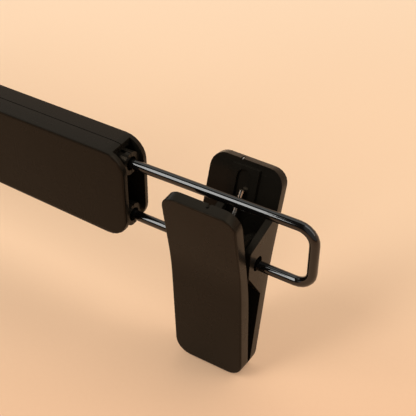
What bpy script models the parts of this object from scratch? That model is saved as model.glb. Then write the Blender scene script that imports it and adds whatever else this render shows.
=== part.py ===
"""Trouser hanger with a hollow bar, a swivelling wire hook and two spring clips that slide on wire loops.

Metres, +Z up. The origin is the rail seat, the top of the inside of the hook, and the bar runs along X.
The clips are modelled as they stand in the photograph, rocked a little about their wire.
"""

import math

import bmesh
import bpy
from mathutils import Matrix, Vector

# Hook
HOOK_WIRE = 0.0038
HOOK_BORE = 0.040
HOOK_NECK_BEND = 0.010
HOOK_RISE = 0.0895
HOOK_END_DEG = 196
HOOK_END_RUN = 0.004
HOOK_HEAD_RADIUS = 0.0036
HOOK_HEAD_HEIGHT = 0.003
WASHER_RADIUS = 0.0040
WASHER_THICKNESS = 0.0008
BUSH_FLANGE_RADIUS = 0.0050
BUSH_FLANGE_HEIGHT = 0.0016
BUSH_NECK_RADIUS = 0.0032
BUSH_FOOT_RADIUS = 0.0041
BUSH_FOOT_HEIGHT = 0.0015

# Bar
BAR_LENGTH = 0.208
BAR_HEIGHT = 0.0327
BAR_THICKNESS = 0.0129
BAR_ARCH = 0.0035
ARCH_RADIUS = 0.6
BAR_CORNER = 0.0075
BAR_FILLET = 0.0007
FACE_WALL = 0.00195
RIM_WALL = 0.0027
END_SLOT = 0.0051
LIP_HEIGHT = 0.0012
LIP_THICKNESS = 0.0009
LIP_STEP = 0.0002
RIB_THICKNESS = 0.0016
NECK_RIB_PLACE = 0.0080
FIRST_RIB_DEPTH = 0.0135
SECOND_RIB_DEPTH = 0.0370
BOSS_RADIUS = 0.0039
BOSS_SETBACK = 0.0015
BOSS_MOUTH_RADIUS = 0.0024
BOSS_MOUTH_DEPTH = 0.0012
BOSS_WEB = 0.0016
PIN_RADIUS = 0.0016
PIN_REACH = 0.0022
SOCKET_WALL = 0.0012
INNER_PIN_PLACE = 0.030
OUTER_PIN_PLACE = 0.079

# Wire loops
LOOP_WIRE = 0.0033
LOOP_INSET = 0.0062
LOOP_REACH = 0.0622
LOOP_SPREAD = 0.0011
LOOP_BEND = 0.0053
LEG_BEND = 0.0030
LEG_TURN_IN = 0.0070

# Clip, measured from the lower wire's axis
CLIP_REACH = 0.0315
CLIP_WIDTH = 0.0252
CLIP_ROCK_DEG = -4.15
HANDLE_TOP = 0.02515
HANDLE_OUT = 0.0167
HANDLE_THICKNESS = 0.00375
HANDLE_CORNER = 0.0050
KNEE_DROP = 0.0030
KNEE_OUT = 0.00965
KNEE_RADIUS = 0.110
JAW_DROP = 0.04475
JAW_TIP_OUT = 0.0044
JAW_THICKNESS = 0.00465
TIP_THICKNESS = 0.0041
TIP_CORNER = 0.0053
JAW_FILLET = 0.0006
EAR_THICKNESS = 0.0024
EAR_INSET = 0.0032
EAR_FRONT = 0.0053
EAR_FRONT_TOP = 0.0071
EAR_FRONT_LOW = 0.0019
EAR_ROOT_TOP = 0.0122
EAR_ROOT_LOW = 0.0139
EAR_CORNER = 0.0010
EAR_HOLE_RADIUS = 0.0025
EAR_HOLE_RISE = 0.0005
LEDGE_WIDTH = 0.0094
LEDGE_HEIGHT = 0.0009
LEDGE_TOP_MARGIN = 0.0018
LEDGE_LENGTH = 0.0115
CHANNEL_WIDTH = 0.0052
CHANNEL_TOP_MARGIN = 0.0028
GATE_WIDTH = 0.0008
GATE_DEPTH = 0.0005
GATE_PLACE = -0.0023
PAD_WIDTH = 0.0204
PAD_LENGTH = 0.0160
PAD_TIP_MARGIN = 0.0016
PAD_CORNER = 0.0020
PAD_POCKET = 0.0015
PAD_PROUD = 0.00035
PAD_RIB_HEIGHT = 0.0003
PAD_RIBS = 8

# Spring
SPRING_WIRE = 0.0015
SPRING_RADIUS = 0.0029
SPRING_PITCH = 0.0026
SPRING_SHIFT = 0.0018
SPRING_ARM_TOP = 0.0169
SPRING_ARM_LEAN = 0.0003
SPRING_TURNS = 2
POINTS_PER_CURL = 16

# Clearances
SEAM_GAP = 0.0003
FIT = 0.0003
WIRE_FIT = 0.00025
OVERRUN = 0.002
ROOT_OVERLAP = 0.0008
WELD = 0.000001

# Facets
CORNER_STEPS = 6
BEND_STEPS = 6
KNEE_STEPS = 5
FILLET_STEPS = 2
HOOK_ARC_STEPS = 34
ROUND_SIDES = 24
SMALL_SIDES = 16
WIRE_BEVEL_RESOLUTION = 4
SPRING_BEVEL_RESOLUTION = 1
SHARP_EDGE_DEG = 40
FLAT_DEG = 0.05
FACING_SHARE = 0.7

# Places that follow from the sizes
LOOP_SPACING = BAR_HEIGHT - 2 * LOOP_INSET
BAR_Z = -HOOK_RISE - BAR_HEIGHT / 2
LOWER_WIRE_Z = BAR_Z - LOOP_SPACING / 2
HALF_BAR = BAR_LENGTH / 2
CLIP_X = HALF_BAR + CLIP_REACH
SOCKET_RADIUS = PIN_RADIUS + FIT + SOCKET_WALL

# Matrices that stand a flat outline up: its own a and b become Y and Z, or X and Z
SIDEWAYS = Matrix(((0, 0, 1, 0), (1, 0, 0, 0), (0, 1, 0, 0), (0, 0, 0, 1)))
FACING = Matrix(((1, 0, 0, 0), (0, 0, -1, 0), (0, 1, 0, 0), (0, 0, 0, 1)))


def clear_scene():
    for obj in list(bpy.data.objects):
        bpy.data.objects.remove(obj)


def new_collection(name, hidden):
    collection = bpy.data.collections.new(name)
    bpy.context.scene.collection.children.link(collection)
    collection.hide_render = hidden
    return collection


def new_material(name, colour, roughness, metallic):
    material = bpy.data.materials.new(name)
    material.use_nodes = True
    shader = material.node_tree.nodes["Principled BSDF"]
    shader.inputs["Base Color"].default_value = (*colour, 1)
    shader.inputs["Roughness"].default_value = roughness
    shader.inputs["Metallic"].default_value = metallic
    material.diffuse_color = (*colour, 1)
    return material


def add_mesh(name, bm, parts=True):
    """An object of a finished bmesh, as a piece or, if parts is False, as a hidden tool of a Boolean."""
    bmesh.ops.recalc_face_normals(bm, faces=bm.faces)
    mesh = bpy.data.meshes.new(name)
    bm.to_mesh(mesh)
    bm.free()
    obj = bpy.data.objects.new(name, mesh)
    if parts:
        PARTS.objects.link(obj)
    else:
        CUTTERS.objects.link(obj)
        obj.hide_render = True
        obj.display_type = "WIRE"
    return obj


def evaluated_copy(obj):
    bpy.context.view_layer.update()
    graph = bpy.context.evaluated_depsgraph_get()
    return bpy.data.meshes.new_from_object(obj.evaluated_get(graph))


def mesh_of_curve(curve):
    """A closed bmesh of a curve, its caps welded on. The curve is removed."""
    guide = bpy.data.objects.new(curve.name, curve)
    bpy.context.scene.collection.objects.link(guide)
    mesh = evaluated_copy(guide)
    bm = bmesh.new()
    bm.from_mesh(mesh)
    bmesh.ops.remove_doubles(bm, verts=bm.verts, dist=WELD)
    bpy.data.objects.remove(guide)
    bpy.data.meshes.remove(mesh)
    return bm


def rounded_path(corners, closed=True):
    """Points through corners of (place, radius, steps), with an arc at each corner that has a radius."""
    points = []
    count = len(corners)
    for i, (place, radius, steps) in enumerate(corners):
        at_end = not closed and i in (0, count - 1)
        if radius == 0 or at_end:
            points.append(place)
            continue
        back = (corners[i - 1][0] - place).normalized()
        on = (corners[(i + 1) % count][0] - place).normalized()
        half = back.angle(on) / 2
        centre = place + (back + on).normalized() * radius / math.sin(half)
        first = place + back * radius / math.tan(half) - centre
        last = place + on * radius / math.tan(half) - centre
        sweep = math.pi - 2 * half
        for step in range(steps + 1):
            turn = sweep * step / steps
            arm = (first * math.sin(sweep - turn) + last * math.sin(turn)) / math.sin(sweep)
            points.append(centre + arm)
    return points


def prism(name, outline, depth, standing, parts=False):
    """A flat outline made depth thick about its own plane, then stood up by the matrix."""
    curve = bpy.data.curves.new(name, "CURVE")
    curve.dimensions = "2D"
    curve.fill_mode = "BOTH"
    curve.extrude = depth / 2
    spline = curve.splines.new("POLY")
    spline.points.add(len(outline) - 1)
    for point, place in zip(spline.points, outline):
        point.co = (place[0], place[1], 0, 1)
    spline.use_cyclic_u = True
    bm = mesh_of_curve(curve)
    bmesh.ops.dissolve_limit(
        bm, angle_limit=math.radians(FLAT_DEG), verts=bm.verts, edges=bm.edges
    )
    bmesh.ops.transform(bm, matrix=standing, verts=bm.verts)
    return add_mesh(name, bm, parts)


def box(name, corner, opposite, frame=None):
    """A hidden box between two opposite corners, in a frame of its own if one is given."""
    bm = bmesh.new()
    bmesh.ops.create_cube(bm, size=1)
    corner, opposite = Vector(corner), Vector(opposite)
    bmesh.ops.scale(bm, vec=[abs(span) for span in opposite - corner], verts=bm.verts)
    bmesh.ops.translate(bm, vec=(corner + opposite) / 2, verts=bm.verts)
    if frame is not None:
        bmesh.ops.transform(bm, matrix=frame, verts=bm.verts)
    return add_mesh(name, bm, parts=False)


def rod(name, start, end, radius, sides=ROUND_SIDES):
    """A hidden cylinder from start to end."""
    bm = bmesh.new()
    start, end = Vector(start), Vector(end)
    axis = end - start
    bmesh.ops.create_cone(
        bm, cap_ends=True, segments=sides, radius1=radius, radius2=radius, depth=axis.length
    )
    bmesh.ops.rotate(bm, matrix=axis.to_track_quat("Z", "Y").to_matrix(), verts=bm.verts)
    bmesh.ops.translate(bm, vec=(start + end) / 2, verts=bm.verts)
    return add_mesh(name, bm, parts=False)


def turned(name, profile):
    """A ring turned about Z from a closed profile of (radius, height), its outer side first and downwards."""
    mesh = bpy.data.meshes.new(name)
    count = len(profile)
    edges = [(i, (i + 1) % count) for i in range(count)]
    mesh.from_pydata([(radius, 0, height) for radius, height in profile], edges, [])
    obj = bpy.data.objects.new(name, mesh)
    PARTS.objects.link(obj)
    screw = obj.modifiers.new("turn", "SCREW")
    screw.steps = ROUND_SIDES
    screw.render_steps = ROUND_SIDES
    screw.use_merge_vertices = True
    screw.merge_threshold = WELD
    screw.use_smooth_shade = True
    return obj


def wire_mesh(name, path, diameter, resolution, round_ends=(False, False)):
    """A closed bmesh of a round wire along a path, its end drawn in to a dome where asked."""
    radii = [1.0] * len(path)
    path = [Vector(place) for place in path]
    for at_start, wanted in zip((True, False), round_ends):
        if not wanted:
            continue
        tip, inner = (path[0], path[1]) if at_start else (path[-1], path[-2])
        back = (inner - tip).normalized() * diameter / 2
        dome = [(tip + back * (1 - math.cos(a)), max(math.sin(a), 0.2)) for a in DOME_ANGLES]
        if at_start:
            path[:1] = [place for place, _ in dome]
            radii[:1] = [radius for _, radius in dome]
        else:
            path[-1:] = [place for place, _ in reversed(dome)]
            radii[-1:] = [radius for _, radius in reversed(dome)]
    curve = bpy.data.curves.new(name, "CURVE")
    curve.dimensions = "3D"
    curve.bevel_depth = diameter / 2
    curve.bevel_resolution = resolution
    curve.use_fill_caps = True
    spline = curve.splines.new("POLY")
    spline.points.add(len(path) - 1)
    for point, place, radius in zip(spline.points, path, radii):
        point.co = (*place, 1)
        point.radius = radius
    return mesh_of_curve(curve)


DOME_ANGLES = [math.radians(angle) for angle in (0, 30, 60, 90)]


def combine(obj, other, operation):
    """Joins the tool to obj, cuts it out, or keeps what they share. The tool is made in obj's own coordinates."""
    bpy.context.view_layer.update()
    other.matrix_world = obj.matrix_world.copy()
    step = obj.modifiers.new(f"{operation.lower()} {other.name}", "BOOLEAN")
    step.operation = operation
    step.solver = "EXACT"
    step.object = other


def join(obj, *tools):
    for tool in tools:
        combine(obj, tool, "UNION")


def cut(obj, *tools):
    for tool in tools:
        combine(obj, tool, "DIFFERENCE")


def bevel_edges(obj, width, steps, wanted):
    """Rounds the edges that pass the test, on the object's own mesh."""
    bm = bmesh.new()
    bm.from_mesh(obj.data)
    bm.normal_update()
    edges = [edge for edge in bm.edges if len(edge.link_faces) == 2 and wanted(edge)]
    bmesh.ops.bevel(
        bm, geom=edges, offset=width, segments=steps, profile=0.5, affect="EDGES", clamp_overlap=True
    )
    bmesh.ops.recalc_face_normals(bm, faces=bm.faces)
    bm.to_mesh(obj.data)
    bm.free()


def round_face_rim(obj, width, steps, direction):
    """Rounds the sharp edges round the faces that look along the direction."""

    def on_rim(edge):
        looking = any(face.normal.dot(direction) > FACING_SHARE for face in edge.link_faces)
        return looking and edge.calc_face_angle() > math.radians(SHARP_EDGE_DEG)

    bevel_edges(obj, width, steps, on_rim)


def finish(obj, material, place=None, rock=0.0):
    if place is not None:
        obj.location = place
        obj.rotation_euler = (rock, 0, 0)
    obj.data.materials.clear()
    obj.data.materials.append(material)
    obj.data.shade_smooth()
    obj.data.set_sharp_from_angle(angle=math.radians(SHARP_EDGE_DEG))
    return obj


def bottom_line(height, reach):
    """The bar's arched bottom edge moved up by a height, from -reach to reach, as its corners."""
    middle = -BAR_HEIGHT / 2 + height + BAR_ARCH
    end = middle - BAR_ARCH * reach / HALF_BAR
    return [
        (Vector((-reach, end)), 0, 1),
        (Vector((0, middle)), ARCH_RADIUS, BEND_STEPS),
        (Vector((reach, end)), 0, 1),
    ]


def bar_outline():
    top = BAR_HEIGHT / 2
    low_left, arch, low_right = (place for place, _, _ in bottom_line(0, HALF_BAR))
    places = [low_left, low_right, Vector((HALF_BAR, top)), Vector((-HALF_BAR, top))]
    corners = [(place, BAR_CORNER, CORNER_STEPS) for place in places]
    corners.insert(1, (arch, ARCH_RADIUS, BEND_STEPS))
    return rounded_path(corners)


def between(name, outline, near, far):
    """A hidden prism whose outline faces the front, from near to far along Y."""
    middle = Matrix.Translation((0, (near + far) / 2, 0))
    return prism(name, outline, abs(far - near), middle @ FACING)


def both_ways(value):
    return (-value, value)


def half_shell(name, side):
    """One half of the hollow bar, on the side of Y that side gives, about the bar's middle."""
    shell = prism(name, bar_outline(), BAR_THICKNESS / 2 + OVERRUN, FACING, parts=True)
    middle = side * (BAR_THICKNESS / 2 - OVERRUN) / 2
    shell.data.transform(Matrix.Translation((0, middle, 0)))
    round_face_rim(shell, BAR_FILLET, FILLET_STEPS, Vector((0, side, 0)))
    shell.location = (0, 0, BAR_Z)

    inner_y = side * (BAR_THICKNESS / 2 - FACE_WALL)
    rooted_y = inner_y + side * ROOT_OVERLAP
    past_seam = -side * OVERRUN
    inner_z = BAR_HEIGHT / 2 - RIM_WALL
    rooted_z = inner_z + ROOT_OVERLAP
    past_end = HALF_BAR + OVERRUN

    hollow = rounded_path(bottom_line(RIM_WALL, past_end), closed=False)
    hollow += [Vector((past_end, inner_z)), Vector((-past_end, inner_z))]
    cut(shell, between(f"{name}_cavity", hollow, past_seam, inner_y))
    for end in (-1, 1):
        slot = box(
            f"{name}_slot_{end}",
            (end * (HALF_BAR - END_SLOT), past_seam, -BAR_HEIGHT),
            (end * past_end, inner_y, BAR_HEIGHT),
        )
        cut(shell, slot)

    ribs = [place * end for end in (-1, 1) for place in rib_places()]
    for number, place in enumerate(ribs):
        arch = BAR_ARCH * (1 - abs(place) / HALF_BAR)
        rib = box(
            f"{name}_rib_{number}",
            (place - RIB_THICKNESS / 2, past_seam, arch - rooted_z),
            (place + RIB_THICKNESS / 2, rooted_y, rooted_z),
        )
        join(shell, rib)
    for end in (-1, 1):
        for level in both_ways(LOOP_SPACING / 2):
            add_boss(shell, f"{name}_boss_{end}_{level:.3f}", end, level, rooted_y, past_seam)
    if side < 0:
        for number, place in enumerate(pin_places()):
            tube_ends = (place, rooted_y, 0), (place, -past_seam, 0)
            tube = rod(f"{name}_socket_{number}", *tube_ends, SOCKET_RADIUS, SMALL_SIDES)
            join(shell, tube)

    beyond = box(
        f"{name}_other_half",
        (-past_end, side * SEAM_GAP / 2, -BAR_HEIGHT),
        (past_end, -side * BAR_THICKNESS, BAR_HEIGHT),
    )
    cut(shell, beyond)
    for number, place in enumerate(pin_places()):
        if side > 0:
            pin_ends = (place, rooted_y, 0), (place, -PIN_REACH, 0)
            join(shell, rod(f"{name}_pin_{number}", *pin_ends, PIN_RADIUS, SMALL_SIDES))
        else:
            bore_ends = (place, -PIN_REACH - 2 * FIT, 0), (place, OVERRUN, 0)
            cut(shell, rod(f"{name}_bore_{number}", *bore_ends, PIN_RADIUS + FIT, SMALL_SIDES))
    add_lip(shell, name, side)
    cut_wire_ways(shell, name)
    neck = rod(
        f"{name}_neck_hole",
        (0, 0, inner_z - OVERRUN),
        (0, 0, BAR_HEIGHT / 2 + OVERRUN),
        BUSH_NECK_RADIUS + FIT,
    )
    cut(shell, neck)
    return finish(shell, BLACK_PLASTIC)


def rib_places():
    return (NECK_RIB_PLACE, HALF_BAR - FIRST_RIB_DEPTH, HALF_BAR - SECOND_RIB_DEPTH)


def pin_places():
    return [side * place for side in (-1, 1) for place in (INNER_PIN_PLACE, OUTER_PIN_PLACE)]


def add_boss(shell, name, end, level, rooted_y, past_seam):
    """The round boss that holds one leg of a loop, with the web that carries it on the face wall."""
    outer = end * (HALF_BAR - BOSS_SETBACK)
    inner = end * (HALF_BAR - FIRST_RIB_DEPTH)
    join(shell, rod(name, (inner, 0, level), (outer, 0, level), BOSS_RADIUS))
    web = box(
        f"{name}_web",
        (inner, past_seam, level - BOSS_WEB / 2),
        (end * (HALF_BAR - END_SLOT - BOSS_SETBACK), rooted_y, level + BOSS_WEB / 2),
    )
    join(shell, web)


def rim_strip(name, low, high, reach, near, far):
    """Two hidden strips inside the top and bottom rims, between two heights from the bar's outside."""
    top = BAR_HEIGHT / 2
    below = rounded_path(bottom_line(low, reach), closed=False)
    below += reversed(rounded_path(bottom_line(high, reach), closed=False))
    return (
        between(f"{name}_bottom", below, near, far),
        box(f"{name}_top", (-reach, near, top - high), (reach, far, top - low)),
    )


def add_lip(shell, name, side):
    """The rear shell's lip crosses the seam inside the front shell's rim, which is rebated for it."""
    reach = HALF_BAR - END_SLOT
    high = RIM_WALL - LIP_STEP
    low = high - LIP_THICKNESS
    if side > 0:
        join(shell, *rim_strip(f"{name}_lip", low, high, reach, ROOT_OVERLAP, -LIP_HEIGHT))
    else:
        sizes = low - FIT, RIM_WALL + FIT, reach + OVERRUN
        cut(shell, *rim_strip(f"{name}_rebate", *sizes, OVERRUN, -LIP_HEIGHT - FIT))


def cut_wire_ways(shell, name):
    """The holes of the wires through the bosses and ribs, and the wider mouths at the bosses' ends."""
    for end in (-1, 1):
        for level in both_ways(LOOP_SPACING / 2):
            tag = f"{name}_way_{end}_{level:.3f}"
            start = end * (HALF_BAR - SECOND_RIB_DEPTH - RIB_THICKNESS - OVERRUN)
            mouth = end * (HALF_BAR - BOSS_SETBACK - BOSS_MOUTH_DEPTH)
            out = end * (HALF_BAR + OVERRUN)
            way = rod(tag, (start, 0, level), (out, 0, level), LOOP_WIRE / 2 + WIRE_FIT, SMALL_SIDES)
            wide = rod(f"{tag}_mouth", (mouth, 0, level), (out, 0, level), BOSS_MOUTH_RADIUS, SMALL_SIDES)
            cut(shell, way, wide)


def wire_loop(name, end):
    """The bent wire at one end of the bar: two legs in the bar, turned in behind the second rib."""
    half = LOOP_SPACING / 2
    inside = HALF_BAR - SECOND_RIB_DEPTH - RIB_THICKNESS / 2 - LEG_BEND
    outside = HALF_BAR + LOOP_REACH
    corners = [
        ((inside, half - LEG_TURN_IN), 0),
        ((inside, half), LEG_BEND),
        ((HALF_BAR, half), 0),
        ((outside, half + LOOP_SPREAD), LOOP_BEND),
        ((outside, -half), LOOP_BEND),
        ((inside, -half), LEG_BEND),
        ((inside, -half + LEG_TURN_IN), 0),
    ]
    flat = rounded_path([(Vector(place), radius, BEND_STEPS) for place, radius in corners], closed=False)
    path = [(end * x, 0, z) for x, z in flat]
    loop = add_mesh(name, wire_mesh(name, path, LOOP_WIRE, WIRE_BEVEL_RESOLUTION))
    return finish(loop, BLACK_WIRE, (0, 0, BAR_Z))


def hook_path():
    """From the foot of the shank up the middle, out along the neck bend and round the rail to the tip."""
    radius = (HOOK_BORE + HOOK_WIRE) / 2
    centre = Vector((0, 0, -HOOK_BORE / 2))
    bend = math.acos(HOOK_NECK_BEND / (HOOK_NECK_BEND + radius))
    join_z = centre.z - radius * math.sin(bend)
    bend_z = join_z - HOOK_NECK_BEND * math.sin(bend)
    path = [Vector((0, 0, hook_head_top() - HOOK_HEAD_HEIGHT / 2)), Vector((0, 0, bend_z))]
    for step in range(1, BEND_STEPS + 1):
        turn = bend * step / BEND_STEPS
        out = HOOK_NECK_BEND * (1 - math.cos(turn))
        path.append(Vector((out, 0, bend_z + HOOK_NECK_BEND * math.sin(turn))))
    end = math.radians(HOOK_END_DEG)
    for step in range(1, HOOK_ARC_STEPS + 1):
        turn = -bend + (end + bend) * step / HOOK_ARC_STEPS
        path.append(centre + Vector((radius * math.cos(turn), 0, radius * math.sin(turn))))
    along = Vector((-math.sin(end), 0, math.cos(end)))
    path.append(path[-1] + along * HOOK_END_RUN)
    return path


def hook_foot_z():
    """The underside of the bush, which stands in the top rim of the bar."""
    return -HOOK_RISE - RIM_WALL - FIT - BUSH_FOOT_HEIGHT


def hook_head_top():
    return hook_foot_z() - FIT - WASHER_THICKNESS - FIT


def hook():
    body = add_mesh(
        "hook", wire_mesh("hook", hook_path(), HOOK_WIRE, WIRE_BEVEL_RESOLUTION, (False, True))
    )
    top = hook_head_top()
    head = rod("hook_head", (0, 0, top - HOOK_HEAD_HEIGHT), (0, 0, top), HOOK_HEAD_RADIUS)
    join(body, head)
    return finish(body, BLACK_WIRE)


def hook_washer():
    bore = HOOK_WIRE / 2 + FIT
    top = hook_foot_z() - FIT
    low = top - WASHER_THICKNESS
    washer = turned(
        "hook_washer", [(WASHER_RADIUS, top), (WASHER_RADIUS, low), (bore, low), (bore, top)]
    )
    return finish(washer, BRIGHT_STEEL)


def hook_bush():
    bore = HOOK_WIRE / 2 + FIT
    bar_top = -HOOK_RISE
    rim_low = bar_top - RIM_WALL
    flange_low = bar_top + FIT
    profile = [
        (BUSH_NECK_RADIUS, flange_low + BUSH_FLANGE_HEIGHT),
        (BUSH_FLANGE_RADIUS, flange_low + BUSH_FLANGE_HEIGHT / 2),
        (BUSH_FLANGE_RADIUS, flange_low),
        (BUSH_NECK_RADIUS, flange_low),
        (BUSH_NECK_RADIUS, rim_low - FIT),
        (BUSH_FOOT_RADIUS, rim_low - FIT),
        (BUSH_FOOT_RADIUS, hook_foot_z()),
        (bore, hook_foot_z()),
        (bore, flange_low + BUSH_FLANGE_HEIGHT),
    ]
    return finish(turned("hook_bush", profile), BLACK_PLASTIC)


def meeting(place, direction, other, other_direction):
    """Where two lines in a plane cross."""
    cross = direction.x * other_direction.y - direction.y * other_direction.x
    gap = other - place
    along = (gap.x * other_direction.y - gap.y * other_direction.x) / cross
    return place + direction * along


class JawLines:
    """The side view of the rear jaw, as (out from the middle plane, up from the wire)."""

    def __init__(self):
        self.top = Vector((HANDLE_OUT, HANDLE_TOP))
        self.knee = Vector((KNEE_OUT, -KNEE_DROP))
        self.handle = (self.top - self.knee).normalized()
        self.handle_in = Vector((-self.handle.y, self.handle.x))
        self.tip = Vector((JAW_TIP_OUT, -JAW_DROP))
        outer = (self.tip - self.knee).normalized()
        square = Vector((outer.y, -outer.x))
        self.inner_top = self.top + self.handle_in * HANDLE_THICKNESS
        self.inner_tip = self.tip + square * TIP_THICKNESS
        self.plate = (self.inner_tip - self.knee - square * JAW_THICKNESS).normalized()
        self.plate_in = Vector((self.plate.y, -self.plate.x))
        self.inner_knee = meeting(self.inner_top, self.handle, self.inner_tip, self.plate)

    def on_inner_handle(self, height):
        """The point of the handle's inner face at a height above the wire."""
        return self.inner_top + self.handle * (height - self.inner_top.y) / self.handle.y

    def on_inner_plate(self, height):
        """The point of the plate's inner face at a height, which is below the wire."""
        return self.inner_tip + self.plate * (height - self.inner_tip.y) / self.plate.y

    def stations(self):
        """Points down the outer and the inner face, in pairs that lie across from each other."""
        outer = [(self.top, 0, 1), (self.knee, KNEE_RADIUS, KNEE_STEPS), (self.tip, 0, 1)]
        inner = [(self.inner_top, 0, 1), (self.inner_knee, KNEE_RADIUS + JAW_THICKNESS, KNEE_STEPS)]
        inner.append((self.inner_tip, 0, 1))
        return list(zip(rounded_path(outer, closed=False), rounded_path(inner, closed=False)))


def side_view(outline, side):
    """The points of a side view, turned over for the front jaw."""
    return [Vector((side * place.x, place.y)) for place in outline]


def slab_frame(place, along, inward, side):
    """A matrix whose own X is X, whose own Y runs along a jaw's face and whose own Z points out of it."""
    x = Vector((1, 0, 0))
    y = Vector((0, side * along.x, along.y))
    z = Vector((0, side * inward.x, inward.y))
    frame = Matrix((x, y, z)).transposed().to_4x4()
    frame.translation = (0, side * place.x, place.y)
    return frame


def jaw_plate(name, lines, side):
    """A flat plate with round corners and a soft outer rim, bent and thinned to the side view."""
    stations = lines.stations()
    middles = [(outer + inner) / 2 for outer, inner in stations]
    depths = [0.0]
    for start, end in zip(middles, middles[1:]):
        depths.append(depths[-1] + (end - start).length)
    half = CLIP_WIDTH / 2
    low = -depths[-1]
    handle_end = [(Vector((half, 0)), HANDLE_CORNER), (Vector((-half, 0)), HANDLE_CORNER)]
    tip_end = [(Vector((-half, low)), TIP_CORNER), (Vector((half, low)), TIP_CORNER)]
    flat = rounded_path([(place, radius, CORNER_STEPS) for place, radius in handle_end + tip_end])
    plate = prism(name, flat, JAW_THICKNESS, Matrix.Identity(4), parts=True)
    round_face_rim(plate, JAW_FILLET, FILLET_STEPS, Vector((0, 0, -1)))
    bm = bmesh.new()
    bm.from_mesh(plate.data)
    for depth in depths[1:-1]:
        everything = bm.verts[:] + bm.edges[:] + bm.faces[:]
        bmesh.ops.bisect_plane(bm, geom=everything, plane_co=(0, -depth, 0), plane_no=(0, 1, 0))
    for vert in bm.verts:
        depth = min(max(-vert.co.y, 0.0), depths[-1])
        index = max(i for i in range(len(depths) - 1) if depths[i] <= depth)
        down = (depth - depths[index]) / (depths[index + 1] - depths[index])
        through = vert.co.z / JAW_THICKNESS + 0.5
        outer = stations[index][0].lerp(stations[index + 1][0], down)
        inner = stations[index][1].lerp(stations[index + 1][1], down)
        place = outer.lerp(inner, through)
        vert.co = (vert.co.x, side * place.x, place.y)
    bmesh.ops.recalc_face_normals(bm, faces=bm.faces)
    bm.to_mesh(plate.data)
    bm.free()
    return plate


def ear_outline(lines):
    root_top = lines.on_inner_handle(EAR_ROOT_TOP)
    root_low = lines.on_inner_plate(-EAR_ROOT_LOW)
    deep_top = root_top - lines.handle_in * ROOT_OVERLAP
    deep_low = root_low - lines.plate_in * ROOT_OVERLAP
    return rounded_path(
        [
            (deep_top, 0, 1),
            (root_top, 0, 1),
            (Vector((-EAR_FRONT, EAR_FRONT_TOP)), EAR_CORNER, BEND_STEPS // 2),
            (Vector((-EAR_FRONT, -EAR_FRONT_LOW)), EAR_CORNER, BEND_STEPS // 2),
            (root_low, 0, 1),
            (deep_low, 0, 1),
            (lines.inner_knee - lines.handle_in * ROOT_OVERLAP, 0, 1),
        ]
    )


def ledge_tool(name, lines, side):
    """The raised ledge inside the handle, with the arched channel that the spring's arm lies in."""
    half, channel = LEDGE_WIDTH / 2, CHANNEL_WIDTH / 2
    top = -LEDGE_TOP_MARGIN
    low = top - LEDGE_LENGTH
    arch = -CHANNEL_TOP_MARGIN
    corners = [(half, low), (half, top), (-half, top), (-half, low), (-channel, low)]
    outline = [Vector(place) for place in corners]
    outline += [
        Vector((-channel * math.cos(turn), arch - channel + channel * math.sin(turn)))
        for turn in (math.pi * step / (2 * BEND_STEPS) for step in range(2 * BEND_STEPS + 1))
    ]
    outline.append(Vector((channel, low)))
    frame = slab_frame(lines.inner_top, lines.handle, lines.handle_in, side)
    lift = Matrix.Translation((0, 0, (LEDGE_HEIGHT - ROOT_OVERLAP) / 2))
    return prism(name, outline, LEDGE_HEIGHT + ROOT_OVERLAP, frame @ lift)


def pad_outline(clearance):
    half = PAD_WIDTH / 2 + clearance
    near = -PAD_TIP_MARGIN + clearance
    far = -PAD_TIP_MARGIN - PAD_LENGTH - clearance
    places = ((half, near), (-half, near), (-half, far), (half, far))
    return rounded_path([(Vector(place), PAD_CORNER + clearance, BEND_STEPS // 2) for place in places])


def pad_frame(lines, side):
    """The frame of the plate's inner face at its tip, with its own Y towards the tip."""
    return slab_frame(lines.inner_tip, lines.plate, lines.plate_in, side)


def jaw(name, side):
    """One lever of a clip, about the wire. side is 1 for the rear jaw and -1 for the front one.

    At each end an ear of one lever lies outside an ear of the other. The left pair stands in from the edge.
    """
    lines = JawLines()
    lever = jaw_plate(name, lines, side)
    for end in (-1, 1):
        outer = CLIP_WIDTH / 2
        if end < 0:
            outer -= EAR_INSET
        if end != side:
            outer -= EAR_THICKNESS + FIT
        ear = prism(f"{name}_ear_{end}", side_view(ear_outline(lines), side), EAR_THICKNESS, SIDEWAYS)
        ear.data.transform(Matrix.Translation((end * (outer - EAR_THICKNESS / 2), 0, 0)))
        join(lever, ear)
    join(lever, ledge_tool(f"{name}_ledge", lines, side))
    reach = CLIP_WIDTH / 2 + OVERRUN
    hole = rod(
        f"{name}_hole", (-reach, 0, EAR_HOLE_RISE), (reach, 0, EAR_HOLE_RISE), EAR_HOLE_RADIUS
    )
    pocket = prism(
        f"{name}_pocket",
        pad_outline(FIT),
        2 * PAD_POCKET,
        pad_frame(lines, side),
    )
    gate_frame = slab_frame(lines.inner_top, lines.handle, lines.handle_in, side)
    gate_place = side * GATE_PLACE
    gate = box(
        f"{name}_gate",
        (gate_place - GATE_WIDTH / 2, -GATE_DEPTH, -HANDLE_THICKNESS / 2),
        (gate_place + GATE_WIDTH / 2, OVERRUN, OVERRUN),
        gate_frame,
    )
    cut(lever, hole, pocket, gate)
    return lever


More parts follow.
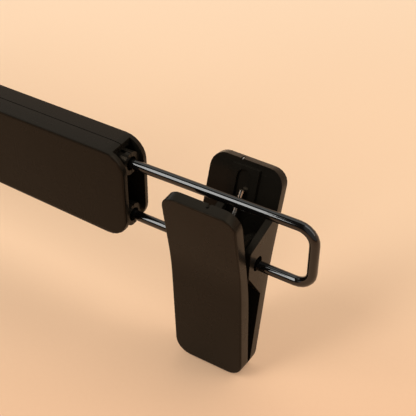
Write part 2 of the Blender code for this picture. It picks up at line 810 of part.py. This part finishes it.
def pad(name, side):
    """A rubber grip let into the plate, with ribs across its face."""
    frame = pad_frame(JawLines(), side)
    low = -PAD_POCKET + FIT
    high = PAD_PROUD - PAD_RIB_HEIGHT
    middle = frame @ Matrix.Translation((0, 0, (low + high) / 2))
    grip = prism(name, pad_outline(0), high - low, middle, parts=True)
    pitch = (PAD_LENGTH - PAD_CORNER) / PAD_RIBS
    start = -PAD_TIP_MARGIN - PAD_CORNER / 2
    for number in range(PAD_RIBS):
        place = start - pitch * (number + 0.5)
        rib = box(
            f"{name}_rib_{number}",
            (-PAD_WIDTH / 2 + PAD_CORNER, place - pitch / 4, -PAD_RIB_HEIGHT),
            (PAD_WIDTH / 2 - PAD_CORNER, place + pitch / 4, PAD_PROUD),
            frame,
        )
        join(grip, rib)
    return grip


def spring_path():
    """The whole spring, from the tip of its rear arm round the coil to the tip of its front arm."""
    lines = JawLines()
    seat = lines.on_inner_handle(SPRING_ARM_TOP) + lines.handle_in * (SPRING_WIRE / 2 + FIT)
    tangent = math.atan2(seat.y, seat.x) - math.acos(SPRING_RADIUS / seat.length)
    sweep = math.pi + 2 * tangent + 2 * math.pi * SPRING_TURNS
    length = SPRING_PITCH * sweep / (2 * math.pi)
    first_x = SPRING_SHIFT - length / 2
    count = math.ceil(sweep / (2 * math.pi) * POINTS_PER_CURL)
    path = [Vector((SPRING_ARM_LEAN, seat.x, seat.y))]
    for step in range(count + 1):
        turn = tangent - sweep * step / count
        x = first_x + length * step / count
        path.append(Vector((x, SPRING_RADIUS * math.cos(turn), SPRING_RADIUS * math.sin(turn))))
    path.append(Vector((0, -seat.x, seat.y)))
    return path


def least_gap(path, diameter):
    """The least clear distance between parts of a wire that lie more than half a turn apart along it."""
    dense = []
    for start, end in zip(path, path[1:]):
        pieces = max(1, round((end - start).length / (diameter / 2)))
        dense += [start.lerp(end, k / pieces) for k in range(pieces)]
    dense.append(path[-1])
    along = [0.0]
    for start, end in zip(dense, dense[1:]):
        along.append(along[-1] + (end - start).length)
    apart = math.pi * SPRING_RADIUS
    gaps = [
        (dense[i] - dense[j]).length
        for i in range(len(dense))
        for j in range(i + 1, len(dense))
        if along[j] - along[i] > apart
    ]
    return min(gaps) - diameter


def spring(name):
    path = spring_path()
    print(f"{name}: least gap to itself {least_gap(path, SPRING_WIRE) * 1000:.2f} mm")
    return add_mesh(name, wire_mesh(name, path, SPRING_WIRE, SPRING_BEVEL_RESOLUTION))


def clip(hand, x):
    """The five pieces of one clip, all about the lower wire at x and rocked alike."""
    place = (x, 0, LOWER_WIRE_Z)
    rock = math.radians(CLIP_ROCK_DEG)
    pieces = [
        (spring(f"{hand}_spring"), BRIGHT_STEEL),
        (jaw(f"{hand}_rear_jaw", 1), BLACK_PLASTIC),
        (jaw(f"{hand}_front_jaw", -1), BLACK_PLASTIC),
        (pad(f"{hand}_rear_pad", 1), BLACK_RUBBER),
        (pad(f"{hand}_front_pad", -1), BLACK_RUBBER),
    ]
    for piece, material in pieces:
        finish(piece, material, place, rock)
        for step in piece.modifiers:
            if step.type == "BOOLEAN":
                step.object.location = place
                step.object.rotation_euler = (rock, 0, 0)


clear_scene()
PARTS = new_collection("trouser_hanger", hidden=False)
CUTTERS = new_collection("cutters", hidden=True)
BLACK_PLASTIC = new_material("black_plastic", (0.012, 0.011, 0.010), 0.32, 0.0)
BLACK_WIRE = new_material("black_wire", (0.008, 0.008, 0.008), 0.12, 0.0)
BRIGHT_STEEL = new_material("bright_steel", (0.62, 0.60, 0.57), 0.22, 1.0)
BLACK_RUBBER = new_material("black_rubber", (0.010, 0.010, 0.010), 0.7, 0.0)

hook()
hook_washer()
hook_bush()
half_shell("front_shell", -1)
half_shell("rear_shell", 1)
wire_loop("right_wire_loop", 1)
wire_loop("left_wire_loop", -1)
clip("right", CLIP_X)
clip("left", -CLIP_X)
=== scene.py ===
"""Looks for the trouser hanger: a studio floor, soft light, the photograph's camera and the materials.

Lengths are in metres. Noise and cell textures have their scale per metre.
"""

import math

import bmesh
import bpy
from mathutils import Matrix, Vector

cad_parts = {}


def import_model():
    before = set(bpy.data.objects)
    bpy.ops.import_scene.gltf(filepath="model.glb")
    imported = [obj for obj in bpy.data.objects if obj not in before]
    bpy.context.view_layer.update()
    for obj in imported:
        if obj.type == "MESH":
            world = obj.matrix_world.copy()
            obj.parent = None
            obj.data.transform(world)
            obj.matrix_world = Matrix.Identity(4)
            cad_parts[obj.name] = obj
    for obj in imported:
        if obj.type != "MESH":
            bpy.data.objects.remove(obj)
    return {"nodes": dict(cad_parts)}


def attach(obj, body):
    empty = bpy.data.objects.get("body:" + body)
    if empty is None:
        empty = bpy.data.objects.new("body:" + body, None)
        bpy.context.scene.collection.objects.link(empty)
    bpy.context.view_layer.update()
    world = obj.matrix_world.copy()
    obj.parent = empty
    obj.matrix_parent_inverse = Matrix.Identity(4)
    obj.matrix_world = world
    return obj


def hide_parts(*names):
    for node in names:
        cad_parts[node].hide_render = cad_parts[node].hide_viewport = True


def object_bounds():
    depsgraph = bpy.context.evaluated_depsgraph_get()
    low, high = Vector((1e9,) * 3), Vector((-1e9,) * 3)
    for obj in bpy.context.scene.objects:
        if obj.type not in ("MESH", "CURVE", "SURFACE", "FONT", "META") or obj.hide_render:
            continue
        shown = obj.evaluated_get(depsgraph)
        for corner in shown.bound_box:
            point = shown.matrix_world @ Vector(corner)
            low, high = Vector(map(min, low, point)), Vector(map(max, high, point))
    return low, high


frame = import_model()
cad_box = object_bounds()
NODES = frame["nodes"]

# The photograph's camera.
CAMERA_PLACE = (0.25209, -0.19903, 0.0890)
CAMERA_TURN_DEG = 31.46
CAMERA_TILT_DEG = 39.22
CAMERA_ROLL_DEG = 0.39
CAMERA_NEAR = 0.01
FOCAL_PX = 999.9
IMAGE_PX = 416
SENSOR_MM = 36

# Shading of the CAD's meshes and of the wires drawn here.
WELD_DISTANCE = 0.000002
SMOOTH_BELOW_DEG = 38
WIRE_SHARP_DEG = 50
WIRE_RESOLUTION = 6

# Where the CAD has the clips: their middle along the bar, the lower wire and their lean about it.
CLIP_X = 0.1355
WIRE_Z = -0.116
CLIP_ROCK_DEG = -4.15

# The springs, as in the CAD. A seat is the Y and Z from the wire at which an arm's tip lies on its lever.
SPRING_WIRE = 0.0015
SPRING_RADIUS = 0.0029
SPRING_PITCH = 0.0026
SPRING_SHIFT = 0.0018
SPRING_TURNS = 2
SPRING_SEAT = Vector((0.0097495, 0.0171551))
ARM_LEAN = 0.0003
ARM_OVERLAP_DEG = 34
COIL_STEPS = 130
BEND_STEPS = 12

# The rear handle in Y and Z from the wire, as in the CAD: its end's outer edge and the way that it runs.
HANDLE_END = Vector((0.0167, 0.02515))
HANDLE_RUN = Vector((0.00705, 0.02815)).normalized()
HANDLE_THICKNESS = 0.00375

# The gate stubs: place along the end face, depth in the notch and depth from the handle's inner face.
STUB_PLACE = 0.00214
STUB_SUNK = 0.00029
STUB_INSET = 0.00098
STUB_SIZE = (0.00058, 0.00042, 0.00084)
STUB_CUTS = 2
STUB_TAPER = (0.80, 0.88)
STUB_HEIGHT = 0.775
STUB_RAGGED = 0.225
STUB_RAGGED_STEP = 7.1

# The floor. Each tone is an sRGB colour at a distance behind the origin, along the camera's view. The
# tones are painted shade: the floor darker towards the camera, darkest out of view in front, where the
# part's faces reflect it.
FLOOR_GAP = 0.0002
FLOOR_HALF_WIDTH = 6
FLOOR_GLOW = 0.22
FLOOR_SHADE_TONES = (
    (-0.70, (120, 78, 50)),
    (-0.30, (214, 166, 128)),
    (-0.16, (227, 182, 145)),
    (0.02, (236, 200, 165)),
    (0.30, (243, 215, 185)),
)
FIBRE_TONE = (200, 150, 110)
FIBRE_SHARE = 0.04

# The room's colours, and where each gives way to the next on an axis of the direction.
DARK_ROOM = (0.035, 0.031, 0.028)
RIGHT_ROOM = (0.36, 0.35, 0.33)
BACK_GROUND = (0.86, 0.58, 0.40)
BACK_WALL = (0.70, 0.70, 0.66)
CEILING = (1.2, 1.2, 1.14)
LEFT_WALL = (0.80, 0.80, 0.78)
GROUND_TO_WALL = (0.40, 0.62)
WALL_TO_CEILING = (0.70, 0.84)
DARK_TO_RIGHT = (0.0, 0.3)
FRONT_TO_BACK = (0.08, 0.28)
ROOM_TO_LEFT = (-0.6, -0.8)

# The softboxes' aim, which is the right clip, and their distance from it.
AIM = Vector((0.13, 0, -0.13))
LIGHT_DISTANCE = 2.0

# Nearly all of a noise texture's values lie in this span.
NOISE_SPAN = (0.3, 0.7)
DUST_SHARE = 0.10
SCUFF_ROUGHNESS = 0.08


def linear(srgb):
    """A linear colour from sRGB values of 0 to 255."""
    parts = (value / 255 for value in srgb)
    return tuple(part / 12.92 if part <= 0.04045 else ((part + 0.055) / 1.055) ** 2.4 for part in parts)


def put(name, data):
    """A new object in the scene."""
    obj = bpy.data.objects.new(name, data)
    bpy.context.scene.collection.objects.link(obj)
    return obj


def filled(name, bm):
    """A new mesh with what the given bmesh holds."""
    mesh = bpy.data.meshes.new(name)
    bm.to_mesh(mesh)
    bm.free()
    return mesh


def framed(axes, place):
    """A matrix from its three axes and its place."""
    return Matrix.Translation(place) @ Matrix(axes).transposed().to_4x4()


def clip_place(x):
    """The frame of a clip about the lower wire."""
    return Matrix.Translation((x, 0, WIRE_Z)) @ Matrix.Rotation(math.radians(CLIP_ROCK_DEG), 4, "X")


class Nodes:
    """A small helper that builds the nodes of a tree in order."""

    def __init__(self, tree):
        self.tree = tree

    def add(self, kind, **settings):
        node = self.tree.nodes.new(kind)
        for key, value in settings.items():
            setattr(node, key, value)
        return node

    def link(self, source, target):
        self.tree.links.new(source, target)

    def feed(self, socket, value):
        """Link another node's output to a socket, or set the socket to a number or an opaque colour."""
        if isinstance(value, bpy.types.NodeSocket):
            self.link(value, socket)
        elif isinstance(value, tuple):
            socket.default_value = (*value, 1)
        else:
            socket.default_value = value

    def remap(self, value, span, result=(0.0, 1.0), interpolation="LINEAR"):
        """A value brought from one span to another, and held there at the ends."""
        node = self.add("ShaderNodeMapRange", interpolation_type=interpolation)
        for key, number in zip(("From Min", "From Max", "To Min", "To Max"), (*span, *result)):
            node.inputs[key].default_value = number
        self.link(value, node.inputs["Value"])
        return node.outputs["Result"]

    def math(self, operation, first, second):
        node = self.add("ShaderNodeMath", operation=operation)
        self.feed(node.inputs[0], first)
        self.feed(node.inputs[1], second)
        return node.outputs["Value"]

    def mix(self, factor, first, second):
        node = self.add("ShaderNodeMix", data_type="RGBA")
        self.link(factor, node.inputs["Factor"])
        self.feed(node.inputs["A"], first)
        self.feed(node.inputs["B"], second)
        return node.outputs["Result"]


class Shader(Nodes):
    """A new material's nodes, about its own object's coordinates."""

    def __init__(self, name):
        self.material = bpy.data.materials.new(name)
        self.material.use_nodes = True
        super().__init__(self.material.node_tree)
        self.shader = self.tree.nodes["Principled BSDF"]
        self.coords = self.add("ShaderNodeTexCoord").outputs["Object"]

    def mapped(self, key, value):
        """The coordinates with one setting of a Mapping node."""
        node = self.add("ShaderNodeMapping")
        node.inputs[key].default_value = value
        self.link(self.coords, node.inputs["Vector"])
        return node.outputs["Vector"]

    def noise(self, scale, detail, roughness, distortion=0.0, vector=None):
        node = self.add("ShaderNodeTexNoise")
        node.inputs["Scale"].default_value = scale
        node.inputs["Detail"].default_value = detail
        node.inputs["Roughness"].default_value = roughness
        node.inputs["Distortion"].default_value = distortion
        self.link(vector or self.coords, node.inputs["Vector"])
        return node.outputs["Fac"]

    def cells(self, scale):
        """The distance from the middle of the nearest of a pattern of cells."""
        node = self.add("ShaderNodeTexVoronoi")
        node.inputs["Scale"].default_value = scale
        self.link(self.coords, node.inputs["Vector"])
        return node.outputs["Distance"]

    def bump(self, height, distance, strength, normal=None):
        node = self.add("ShaderNodeBump")
        node.inputs["Strength"].default_value = strength
        node.inputs["Distance"].default_value = distance
        self.link(height, node.inputs["Height"])
        if normal is not None:
            self.link(normal, node.inputs["Normal"])
        self.link(node.outputs["Normal"], self.shader.inputs["Normal"])
        return node.outputs["Normal"]

    def set(self, **values):
        """The shader's sockets by name, with _ for a space."""
        for name, value in values.items():
            self.feed(self.shader.inputs[name.replace("_", " ")], value)


def black_plastic():
    """Glossy moulded black: uneven gloss, a fine skin, a few hairline scuffs and specks of dust."""
    m = Shader("black_plastic_look")
    m.set(IOR=1.21, Specular_Tint=(1.0, 0.76, 0.52))
    cloud = m.noise(scale=55, detail=4, roughness=0.55)
    base = m.mix(cloud, (0.0086, 0.0073, 0.0054), (0.0112, 0.0096, 0.0073))
    dust = m.remap(m.cells(scale=420), span=(0.0, 0.045), result=(1.0, 0.0))
    m.set(Base_Color=m.mix(m.math("MULTIPLY", dust, DUST_SHARE), base, (0.12, 0.10, 0.085)))
    along = m.mapped("Scale", (1.0, 1.0, 0.045))
    hairs = m.noise(scale=900, detail=2, roughness=0.5, distortion=0.4, vector=along)
    scuff = m.math("MULTIPLY", m.remap(hairs, span=(0.66, 0.74)), SCUFF_ROUGHNESS)
    m.set(Roughness=m.math("ADD", m.remap(cloud, NOISE_SPAN, result=(0.24, 0.30)), scuff))
    skin = m.bump(m.noise(scale=2600, detail=2, roughness=0.6), distance=0.000012, strength=0.5)
    m.bump(m.noise(scale=120, detail=2, roughness=0.5), distance=0.00006, strength=0.35, normal=skin)
    return m.material


def black_wire():
    """Gloss black coating: smooth, with the slight waviness of a dipped coat."""
    m = Shader("black_wire_look")
    cloud = m.noise(scale=160, detail=3, roughness=0.5)
    m.set(IOR=1.55, Base_Color=m.mix(cloud, (0.0035, 0.0032, 0.0030), (0.0060, 0.0055, 0.0050)))
    m.set(Roughness=m.remap(cloud, NOISE_SPAN, result=(0.04, 0.08)))
    m.bump(m.noise(scale=420, detail=3, roughness=0.6), distance=0.00002, strength=0.3)
    return m.material


def bright_steel():
    """Drawn spring wire: bright, with fine lines and darker patches."""
    m = Shader("bright_steel_look")
    patches = m.noise(scale=320, detail=3, roughness=0.6)
    m.set(Metallic=1.0, Base_Color=m.mix(patches, (0.58, 0.55, 0.51), (0.78, 0.75, 0.70)))
    lines = m.noise(scale=1500, detail=3, roughness=0.6, vector=m.mapped("Scale", (1.0, 1.0, 0.1)))
    m.set(Roughness=m.remap(lines, NOISE_SPAN, result=(0.16, 0.30)))
    m.bump(lines, distance=0.00001, strength=0.5)
    return m.material


def black_rubber():
    """Matt black rubber with a fine grain."""
    m = Shader("black_rubber_look")
    cloud = m.noise(scale=300, detail=4, roughness=0.6)
    m.set(Base_Color=m.mix(cloud, (0.008, 0.008, 0.0075), (0.016, 0.015, 0.014)))
    m.set(Roughness=m.remap(cloud, NOISE_SPAN, result=(0.6, 0.8)))
    m.bump(m.noise(scale=3000, detail=2, roughness=0.6), distance=0.00003, strength=0.6)
    return m.material


def painted_gate_glint():
    """Painted highlight: a pale plastic colour on the rear gate stub that stands in for the bright glint
    in its notch.
    """
    m = Shader("pale_break_look")
    cloud = m.noise(scale=4000, detail=2, roughness=0.6)
    m.set(Roughness=0.55, Base_Color=m.mix(cloud, (0.42, 0.38, 0.35), (0.72, 0.68, 0.64)))
    m.bump(m.noise(scale=5200, detail=2, roughness=0.6), distance=0.00002, strength=0.6)
    return m.material


def floor_look():
    """Fine peach paper whose tone is painted shade, darker towards the camera and darkest out of view in
    front, where the part's faces reflect it, and a glow that casts no light.
    """
    m = Shader("floor_look")
    turned = m.mapped("Rotation", (0, 0, -math.radians(CAMERA_TURN_DEG)))
    split = m.add("ShaderNodeSeparateXYZ")
    m.link(turned, split.inputs["Vector"])
    low, high = FLOOR_SHADE_TONES[0][0], FLOOR_SHADE_TONES[-1][0]
    # The ramp paints shade: the floor darker towards the camera.
    ramp = m.add("ShaderNodeValToRGB")
    ramp.color_ramp.interpolation = "EASE"
    stops = ramp.color_ramp.elements
    for place, _ in FLOOR_SHADE_TONES[1:-1]:
        stops.new((place - low) / (high - low))
    for stop, (place, srgb) in zip(stops, FLOOR_SHADE_TONES):
        stop.position = (place - low) / (high - low)
        stop.color = (*linear(srgb), 1)
    m.link(m.remap(split.outputs["Y"], span=(low, high)), ramp.inputs["Fac"])
    tone = ramp.outputs["Color"]
    fibre = m.noise(scale=700, detail=3, roughness=0.6)
    share = m.remap(fibre, NOISE_SPAN, result=(0.0, FIBRE_SHARE))
    m.set(Roughness=0.8, IOR=1.2, Base_Color=m.mix(share, tone, linear(FIBRE_TONE)))
    m.bump(fibre, distance=0.00002, strength=0.3)
    paths = m.add("ShaderNodeLightPath")
    seen = m.math("MAXIMUM", paths.outputs["Is Camera Ray"], paths.outputs["Is Glossy Ray"])
    m.set(Emission_Color=tone, Emission_Strength=m.math("MULTIPLY", seen, FLOOR_GLOW))
    return m.material


def smooth_by_angle():
    """A modifier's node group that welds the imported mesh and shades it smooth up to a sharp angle."""
    group = bpy.data.node_groups.new("smooth_by_angle", "GeometryNodeTree")
    for way in ("INPUT", "OUTPUT"):
        group.interface.new_socket("Geometry", in_out=way, socket_type="NodeSocketGeometry")
    g = Nodes(group)
    clean = g.add("GeometryNodeRemoveAttribute")
    clean.inputs["Name"].default_value = "custom_normal"
    weld = g.add("GeometryNodeMergeByDistance")
    weld.inputs["Distance"].default_value = WELD_DISTANCE
    faces = g.add("GeometryNodeSetShadeSmooth", domain="FACE")
    faces.inputs["Shade Smooth"].default_value = True
    edges = g.add("GeometryNodeSetShadeSmooth", domain="EDGE")
    below = g.add("FunctionNodeCompare", data_type="FLOAT", operation="LESS_THAN")
    below.inputs["B"].default_value = math.radians(SMOOTH_BELOW_DEG)
    g.link(g.add("GeometryNodeInputMeshEdgeAngle").outputs["Unsigned Angle"], below.inputs["A"])
    g.link(below.outputs["Result"], edges.inputs["Shade Smooth"])
    geometry = g.add("NodeGroupInput").outputs[0]
    for node in (clean, weld, faces, edges):
        g.link(geometry, node.inputs["Geometry"])
        geometry = node.outputs["Geometry"]
    g.link(geometry, g.add("NodeGroupOutput").inputs[0])
    return group


def dress(name, material, group, flat=False):
    """A CAD node's material and smooth shading. Flat faces keep an even shade."""
    obj = NODES[name]
    obj.data.materials.clear()
    obj.data.materials.append(material)
    obj.modifiers.new("smooth", "NODES").node_group = group
    if flat:
        obj.modifiers.new("even faces", "WEIGHTED_NORMAL").keep_sharp = True


def tube(name, points, radius, body, material):
    """A round wire along points, which rides on a body."""
    curve = bpy.data.curves.new(name, "CURVE")
    curve.dimensions = "3D"
    curve.bevel_depth = radius
    curve.bevel_resolution = WIRE_RESOLUTION
    curve.use_fill_caps = True
    spline = curve.splines.new("POLY")
    spline.points.add(len(points) - 1)
    for point, place in zip(spline.points, points):
        point.co = (*place, 1)
    guide = put(name, curve)
    bpy.context.view_layer.update()
    evaluated = guide.evaluated_get(bpy.context.evaluated_depsgraph_get())
    mesh = bpy.data.meshes.new_from_object(evaluated)
    bpy.data.objects.remove(guide)
    mesh.materials.append(material)
    mesh.shade_smooth()
    mesh.set_sharp_from_angle(angle=math.radians(WIRE_SHARP_DEG))
    obj = put(name, mesh)
    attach(obj, body)
    return obj


def springs(hand, x, material):
    """Each spring as its coil, which stays with the wire, and its two arms, which go with the levers."""
    place = clip_place(x)
    seat, radius = SPRING_SEAT, SPRING_WIRE / 2
    tangent = math.atan2(seat.y, seat.x) - math.acos(SPRING_RADIUS / seat.length)
    sweep = math.pi + 2 * tangent + math.tau * SPRING_TURNS
    length = SPRING_PITCH * sweep / math.tau

    def turned(start, end, steps):
        """Points on the coil from one angle of its sweep to another."""
        points = []
        for step in range(steps + 1):
            angle = start + (end - start) * step / steps
            along = SPRING_SHIFT + length * (angle / sweep - 0.5)
            across = SPRING_RADIUS * math.cos(tangent - angle)
            points.append(Vector((along, across, SPRING_RADIUS * math.sin(tangent - angle))))
        return points

    overlap = math.radians(ARM_OVERLAP_DEG)
    coil = turned(0, sweep, COIL_STEPS)
    rear = [Vector((ARM_LEAN, seat.x, seat.y)), *turned(0, overlap, BEND_STEPS)]
    front = [Vector((0, -seat.x, seat.y)), *turned(sweep, sweep - overlap, BEND_STEPS)]
    coil, rear, front = ([place @ point for point in line] for line in (coil, rear, front))
    pieces = [
        tube(f"{hand}_spring_coil", coil, radius, f"{hand}_spring", material),
        tube(f"{hand}_spring_rear_arm", rear, radius, f"{hand}_rear_lever", material),
        tube(f"{hand}_spring_front_arm", front, radius, f"{hand}_front_lever", material),
    ]
    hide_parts(f"{hand}_spring")


def handle_end(x, side):
    """The frame of a lever's end face: X along it, Y out of it and Z out of the handle's inner face."""
    inward = Vector((-HANDLE_RUN.y, HANDLE_RUN.x))
    place = HANDLE_END + inward * HANDLE_THICKNESS
    axes = (1, 0, 0), (0, side * HANDLE_RUN.x, HANDLE_RUN.y), (0, side * inward.x, inward.y)
    return clip_place(x) @ framed(axes, (0, side * place.x, place.y))


def gate_stubs(hand, x, plastic, gate_glint_paint):
    """The snapped stub of the mould's gate in the notch of each lever's end; the rear one is pale, a
    painted highlight.
    """
    for part, side, material in (("rear", 1, gate_glint_paint), ("front", -1, plastic)):
        bm = bmesh.new()
        bmesh.ops.create_cube(bm, size=1)
        bmesh.ops.subdivide_edges(bm, edges=bm.edges[:], cuts=STUB_CUTS, use_grid_fill=True)
        for number, vert in enumerate(bm.verts):
            if vert.co.y > 0:
                height = STUB_HEIGHT + STUB_RAGGED * math.sin(STUB_RAGGED_STEP * number)
                vert.co *= Vector((STUB_TAPER[0], height, STUB_TAPER[1]))
            vert.co *= Vector(STUB_SIZE)
        notch = Matrix.Translation((-side * STUB_PLACE, -STUB_SUNK, -STUB_INSET))
        bmesh.ops.transform(bm, matrix=handle_end(x, side) @ notch, verts=bm.verts)
        bmesh.ops.recalc_face_normals(bm, faces=bm.faces)
        obj = put(f"{hand}_{part}_gate_stub", filled(f"{hand}_{part}_gate_stub", bm))
        obj.data.shade_smooth()
        obj.data.materials.append(material)
        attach(obj, f"{hand}_{part}_lever")


def camera():
    """The photograph's camera."""
    data = bpy.data.cameras.new("camera")
    data.sensor_width = SENSOR_MM
    data.lens = SENSOR_MM * FOCAL_PX / IMAGE_PX
    data.clip_start = CAMERA_NEAR
    angles = (CAMERA_TURN_DEG, CAMERA_TILT_DEG, CAMERA_ROLL_DEG)
    turn, tilt, roll = (math.radians(angle) for angle in angles)
    ahead = Vector((-math.sin(turn), math.cos(turn), 0))
    right = Vector((math.cos(turn), math.sin(turn), 0))
    up = Vector((*(ahead * math.sin(tilt)).xy, math.cos(tilt)))
    back = Vector((*(-ahead * math.cos(tilt)).xy, math.sin(tilt)))
    across = math.cos(roll) * right + math.sin(roll) * up
    upward = math.cos(roll) * up - math.sin(roll) * right
    obj = put("camera", data)
    obj.matrix_world = framed((across, upward, back), CAMERA_PLACE)
    bpy.context.scene.camera = obj


def floor():
    """A wide floor just under the part."""
    bm = bmesh.new()
    bmesh.ops.create_grid(bm, x_segments=2, y_segments=2, size=FLOOR_HALF_WIDTH)
    obj = put("floor", filled("floor", bm))
    obj.location = (0, 0, cad_box[0].z - FLOOR_GAP)
    obj.data.materials.append(floor_look())


def area(name, direction, along, size, power, colour):
    """A softbox in a direction from the clip. Its first side lies along the given direction."""
    data = bpy.data.lights.new(name, "AREA")
    data.shape = "RECTANGLE"
    data.size, data.size_y = size
    data.energy = power
    data.color = colour
    back = Vector(direction).normalized()
    across = (Vector(along) - back * back.dot(Vector(along))).normalized()
    obj = put(name, data)
    obj.matrix_world = framed((across, back.cross(across), back), AIM + back * LIGHT_DISTANCE)


def world():
    """A dark room, paler at the right, with a pale wall at the left and at the back a wall over peach
    ground and under a bright ceiling."""
    studio = bpy.data.worlds.new("studio")
    studio.use_nodes = True
    w = Nodes(studio.node_tree)
    split = w.add("ShaderNodeSeparateXYZ")
    w.link(w.add("ShaderNodeTexCoord").outputs["Generated"], split.inputs["Vector"])

    def blended(axis, span, first, second):
        """The first colour before the span on one axis of the direction, and the second after it."""
        return w.mix(w.remap(split.outputs[axis], span, interpolation="SMOOTHSTEP"), first, second)

    wall = blended("Z", GROUND_TO_WALL, BACK_GROUND, BACK_WALL)
    back = blended("Z", WALL_TO_CEILING, wall, CEILING)
    front = blended("X", DARK_TO_RIGHT, DARK_ROOM, RIGHT_ROOM)
    room = blended("Y", FRONT_TO_BACK, front, back)
    colour = blended("X", ROOM_TO_LEFT, room, LEFT_WALL)
    w.link(colour, w.tree.nodes["Background"].inputs["Color"])
    bpy.context.scene.world = studio


def lights():
    """Two long softboxes: one from the front left up to overhead, one over the right."""
    area(
        "key_softbox", direction=(-0.386, -0.60, 0.69), along=(1, 0, 0),
        size=(0.50, 1.60), power=19.5, colour=(1.0, 1.0, 0.98),
    )
    area(
        "fill_softbox", direction=(0.62, 0.20, 0.75), along=(0, 1, 0),
        size=(1.0, 2.2), power=11, colour=(1.0, 0.97, 0.94),
    )


plastic, wire, steel, rubber = black_plastic(), black_wire(), bright_steel(), black_rubber()
# The pale rear gate stubs are a painted highlight.
gate_glint_paint = painted_gate_glint()
smooth = smooth_by_angle()
for node in ("front_shell", "rear_shell"):
    dress(node, plastic, smooth, flat=True)
dress("hook_bush", plastic, smooth)
for node in ("right_wire_loop", "left_wire_loop", "hook"):
    dress(node, wire, smooth)
dress("hook_washer", steel, smooth)
for hand, x in (("right", CLIP_X), ("left", -CLIP_X)):
    for part in ("front_jaw", "rear_jaw"):
        dress(f"{hand}_{part}", plastic, smooth, flat=True)
    for part in ("front_pad", "rear_pad"):
        dress(f"{hand}_{part}", rubber, smooth, flat=True)
    springs(hand, x, steel)
    gate_stubs(hand, x, plastic, gate_glint_paint)

floor()
world()
lights()
camera()
bpy.context.scene.view_settings.view_transform = "Standard"
